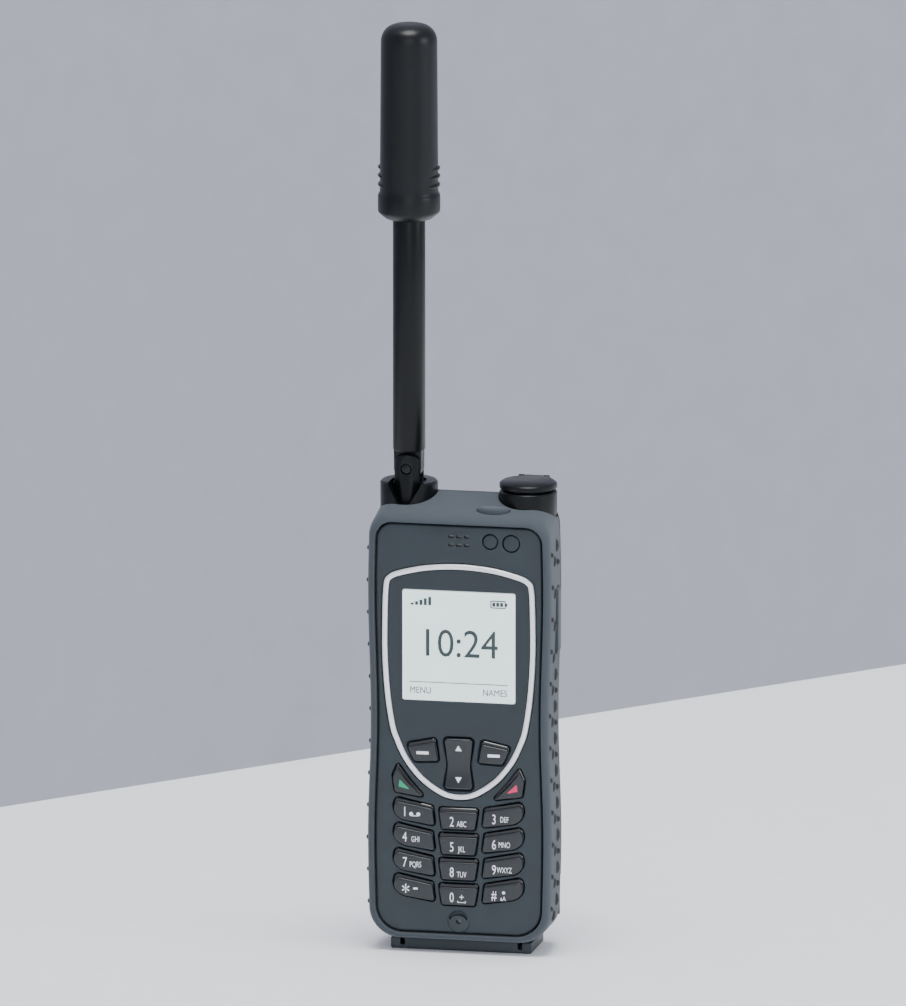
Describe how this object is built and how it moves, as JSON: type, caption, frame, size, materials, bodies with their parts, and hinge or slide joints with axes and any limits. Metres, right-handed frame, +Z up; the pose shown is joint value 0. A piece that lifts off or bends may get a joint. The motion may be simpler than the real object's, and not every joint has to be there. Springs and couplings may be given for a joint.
{
  "type": "satellite phone",
  "caption": "Rugged bar handset with keypad, small display, rubber side grips and a thick telescoping antenna that slides out and tilts.",
  "frame": {"origin": "centre of the base's bottom face, where the phone stands", "axes": "+Z up along the handset towards the antenna, the keypad and display face -Y, +X is to the right when looking at the keypad"},
  "size_m": [0.0582, 0.027, 0.2835],
  "materials": {
    "case_plastic": "moulded, fine texture",
    "grip_rubber": "soft matt rubber",
    "key_plastic": "glossy black",
    "bright_trim": "bright metal plating",
    "display_glass": "clear over a pale green display",
    "antenna_plastic": "semi-gloss black",
    "steel": "plain",
    "contact_metal": "gold plated",
    "circuit_board": "green solder mask",
    "white_card": "plain",
    "alert_red": "glossy red"
  },
  "bodies": {
    "case": {"antenna_collar": "antenna_plastic", "antenna_contact": "contact_metal", "antenna_guide": "steel", "base_foot": "case_plastic", "battery_contacts": "contact_metal", "display_bezel": "key_plastic", "display_lens": "display_glass", "display_trim": "bright_trim", "earpiece": "steel", "front_housing": "case_plastic", "grip_band": "grip_rubber", "housing_screw_1": "steel", "housing_screw_2": "steel", "housing_screw_3": "steel", "housing_screw_4": "steel", "housing_seal": "grip_rubber", "keypad_mat": "grip_rubber", "lcd_module": "white_card", "light_sensor_lens": "key_plastic", "loudspeaker": "steel", "main_board": "circuit_board", "microphone": "steel", "power_jack": "steel", "rear_housing": "case_plastic", "rf_shield": "steel", "sim_card": "white_card", "sos_hinge_pin": "steel", "sos_tower": "antenna_plastic", "status_light_lens": "key_plastic"},
    "key_1": {"key_1": "key_plastic"},
    "key_2": {"key_2": "key_plastic"},
    "key_3": {"key_3": "key_plastic"},
    "key_4": {"key_4": "key_plastic"},
    "key_5": {"key_5": "key_plastic"},
    "key_6": {"key_6": "key_plastic"},
    "key_7": {"key_7": "key_plastic"},
    "key_8": {"key_8": "key_plastic"},
    "key_9": {"key_9": "key_plastic"},
    "key_star": {"key_star": "key_plastic"},
    "key_0": {"key_0": "key_plastic"},
    "key_hash": {"key_hash": "key_plastic"},
    "soft_key_left": {"soft_key_left": "key_plastic"},
    "soft_key_right": {"soft_key_right": "key_plastic"},
    "call_key": {"call_key": "key_plastic"},
    "end_key": {"end_key": "key_plastic"},
    "nav_rocker": {"nav_rocker": "key_plastic"},
    "antenna_carriage": {"antenna_slider": "antenna_plastic", "antenna_pivot_pin": "steel"},
    "antenna": {"antenna_mast": "antenna_plastic", "antenna_head": "antenna_plastic", "antenna_element": "white_card"},
    "power_button": {"power_button": "grip_rubber"},
    "side_button": {"side_button": "grip_rubber"},
    "volume_rocker": {"volume_rocker": "grip_rubber"},
    "sos_button": {"sos_button": "alert_red"},
    "sos_cover": {"sos_cover": "antenna_plastic"},
    "power_port_cover": {"power_port_cover": "grip_rubber"},
    "battery_latch": {"battery_latch": "key_plastic"},
    "battery": {"battery_pack": "case_plastic"}
  },
  "joints": [
    {"name": "key_1_press", "type": "slide", "parent": "case", "child": "key_1", "axis": [0, 1, 0], "range_m": [0, 0.0005], "stiffness_N_per_m": 300},
    {"name": "key_2_press", "type": "slide", "parent": "case", "child": "key_2", "axis": [0, 1, 0], "range_m": [0, 0.0005], "stiffness_N_per_m": 300},
    {"name": "key_3_press", "type": "slide", "parent": "case", "child": "key_3", "axis": [0, 1, 0], "range_m": [0, 0.0005], "stiffness_N_per_m": 300},
    {"name": "key_4_press", "type": "slide", "parent": "case", "child": "key_4", "axis": [0, 1, 0], "range_m": [0, 0.0005], "stiffness_N_per_m": 300},
    {"name": "key_5_press", "type": "slide", "parent": "case", "child": "key_5", "axis": [0, 1, 0], "range_m": [0, 0.0005], "stiffness_N_per_m": 300},
    {"name": "key_6_press", "type": "slide", "parent": "case", "child": "key_6", "axis": [0, 1, 0], "range_m": [0, 0.0005], "stiffness_N_per_m": 300},
    {"name": "key_7_press", "type": "slide", "parent": "case", "child": "key_7", "axis": [0, 1, 0], "range_m": [0, 0.0005], "stiffness_N_per_m": 300},
    {"name": "key_8_press", "type": "slide", "parent": "case", "child": "key_8", "axis": [0, 1, 0], "range_m": [0, 0.0005], "stiffness_N_per_m": 300},
    {"name": "key_9_press", "type": "slide", "parent": "case", "child": "key_9", "axis": [0, 1, 0], "range_m": [0, 0.0005], "stiffness_N_per_m": 300},
    {"name": "key_star_press", "type": "slide", "parent": "case", "child": "key_star", "axis": [0, 1, 0], "range_m": [0, 0.0005], "stiffness_N_per_m": 300},
    {"name": "key_0_press", "type": "slide", "parent": "case", "child": "key_0", "axis": [0, 1, 0], "range_m": [0, 0.0005], "stiffness_N_per_m": 300},
    {"name": "key_hash_press", "type": "slide", "parent": "case", "child": "key_hash", "axis": [0, 1, 0], "range_m": [0, 0.0005], "stiffness_N_per_m": 300},
    {"name": "soft_key_left_press", "type": "slide", "parent": "case", "child": "soft_key_left", "axis": [0, 1, 0], "range_m": [0, 0.0005], "stiffness_N_per_m": 300},
    {"name": "soft_key_right_press", "type": "slide", "parent": "case", "child": "soft_key_right", "axis": [0, 1, 0], "range_m": [0, 0.0005], "stiffness_N_per_m": 300},
    {"name": "call_key_press", "type": "slide", "parent": "case", "child": "call_key", "axis": [0, 1, 0], "range_m": [0, 0.0005], "stiffness_N_per_m": 300},
    {"name": "end_key_press", "type": "slide", "parent": "case", "child": "end_key", "axis": [0, 1, 0], "range_m": [0, 0.0005], "stiffness_N_per_m": 300},
    {"name": "nav_rocker_tilt", "type": "hinge", "parent": "case", "child": "nav_rocker", "pos_m": [0, -0.01, 0.0585], "axis": [1, 0, 0], "range_deg": [-2.5, 2.5], "stiffness_Nm_per_rad": 0.05},
    {"name": "antenna_slide", "type": "slide", "parent": "case", "child": "antenna_carriage", "axis": [0, 0, 1], "range_m": [-0.08, 0]},
    {"name": "antenna_tilt", "type": "hinge", "parent": "antenna_carriage", "child": "antenna", "pos_m": [-0.0184, 0.0021, 0.147], "axis": [0, -1, 0], "range_deg": [0, 60]},
    {"name": "power_button_press", "type": "slide", "parent": "case", "child": "power_button", "axis": [0, 0, -1], "range_m": [0, 0.0006], "stiffness_N_per_m": 300},
    {"name": "side_button_press", "type": "slide", "parent": "case", "child": "side_button", "axis": [-1, 0, 0], "range_m": [0, 0.0004], "stiffness_N_per_m": 300},
    {"name": "volume_rocker_tilt", "type": "hinge", "parent": "case", "child": "volume_rocker", "pos_m": [-0.02746, -0.00275, 0.1035], "axis": [0, 1, 0], "range_deg": [-2.5, 2.5], "stiffness_Nm_per_rad": 0.05},
    {"name": "sos_button_press", "type": "slide", "parent": "case", "child": "sos_button", "axis": [0, 0, -1], "range_m": [0, 0.0006], "stiffness_N_per_m": 300},
    {"name": "sos_cover_hinge", "type": "hinge", "parent": "case", "child": "sos_cover", "pos_m": [0.0184, 0.011, 0.1429], "axis": [-1, 0, 0], "range_deg": [0, 110]},
    {"name": "power_port_cover_hinge", "type": "hinge", "parent": "case", "child": "power_port_cover", "pos_m": [0.02586, 0.0079, 0.016], "axis": [0, 0, 1], "range_deg": [0, 100]},
    {"name": "battery_latch_slide", "type": "slide", "parent": "case", "child": "battery_latch", "axis": [0, 0, 1], "range_m": [0, 0.003], "stiffness_N_per_m": 200},
    {"name": "battery_lift", "type": "slide", "parent": "case", "child": "battery", "axis": [0, 1, 0], "range_m": [0, 0.025]}
  ]
}
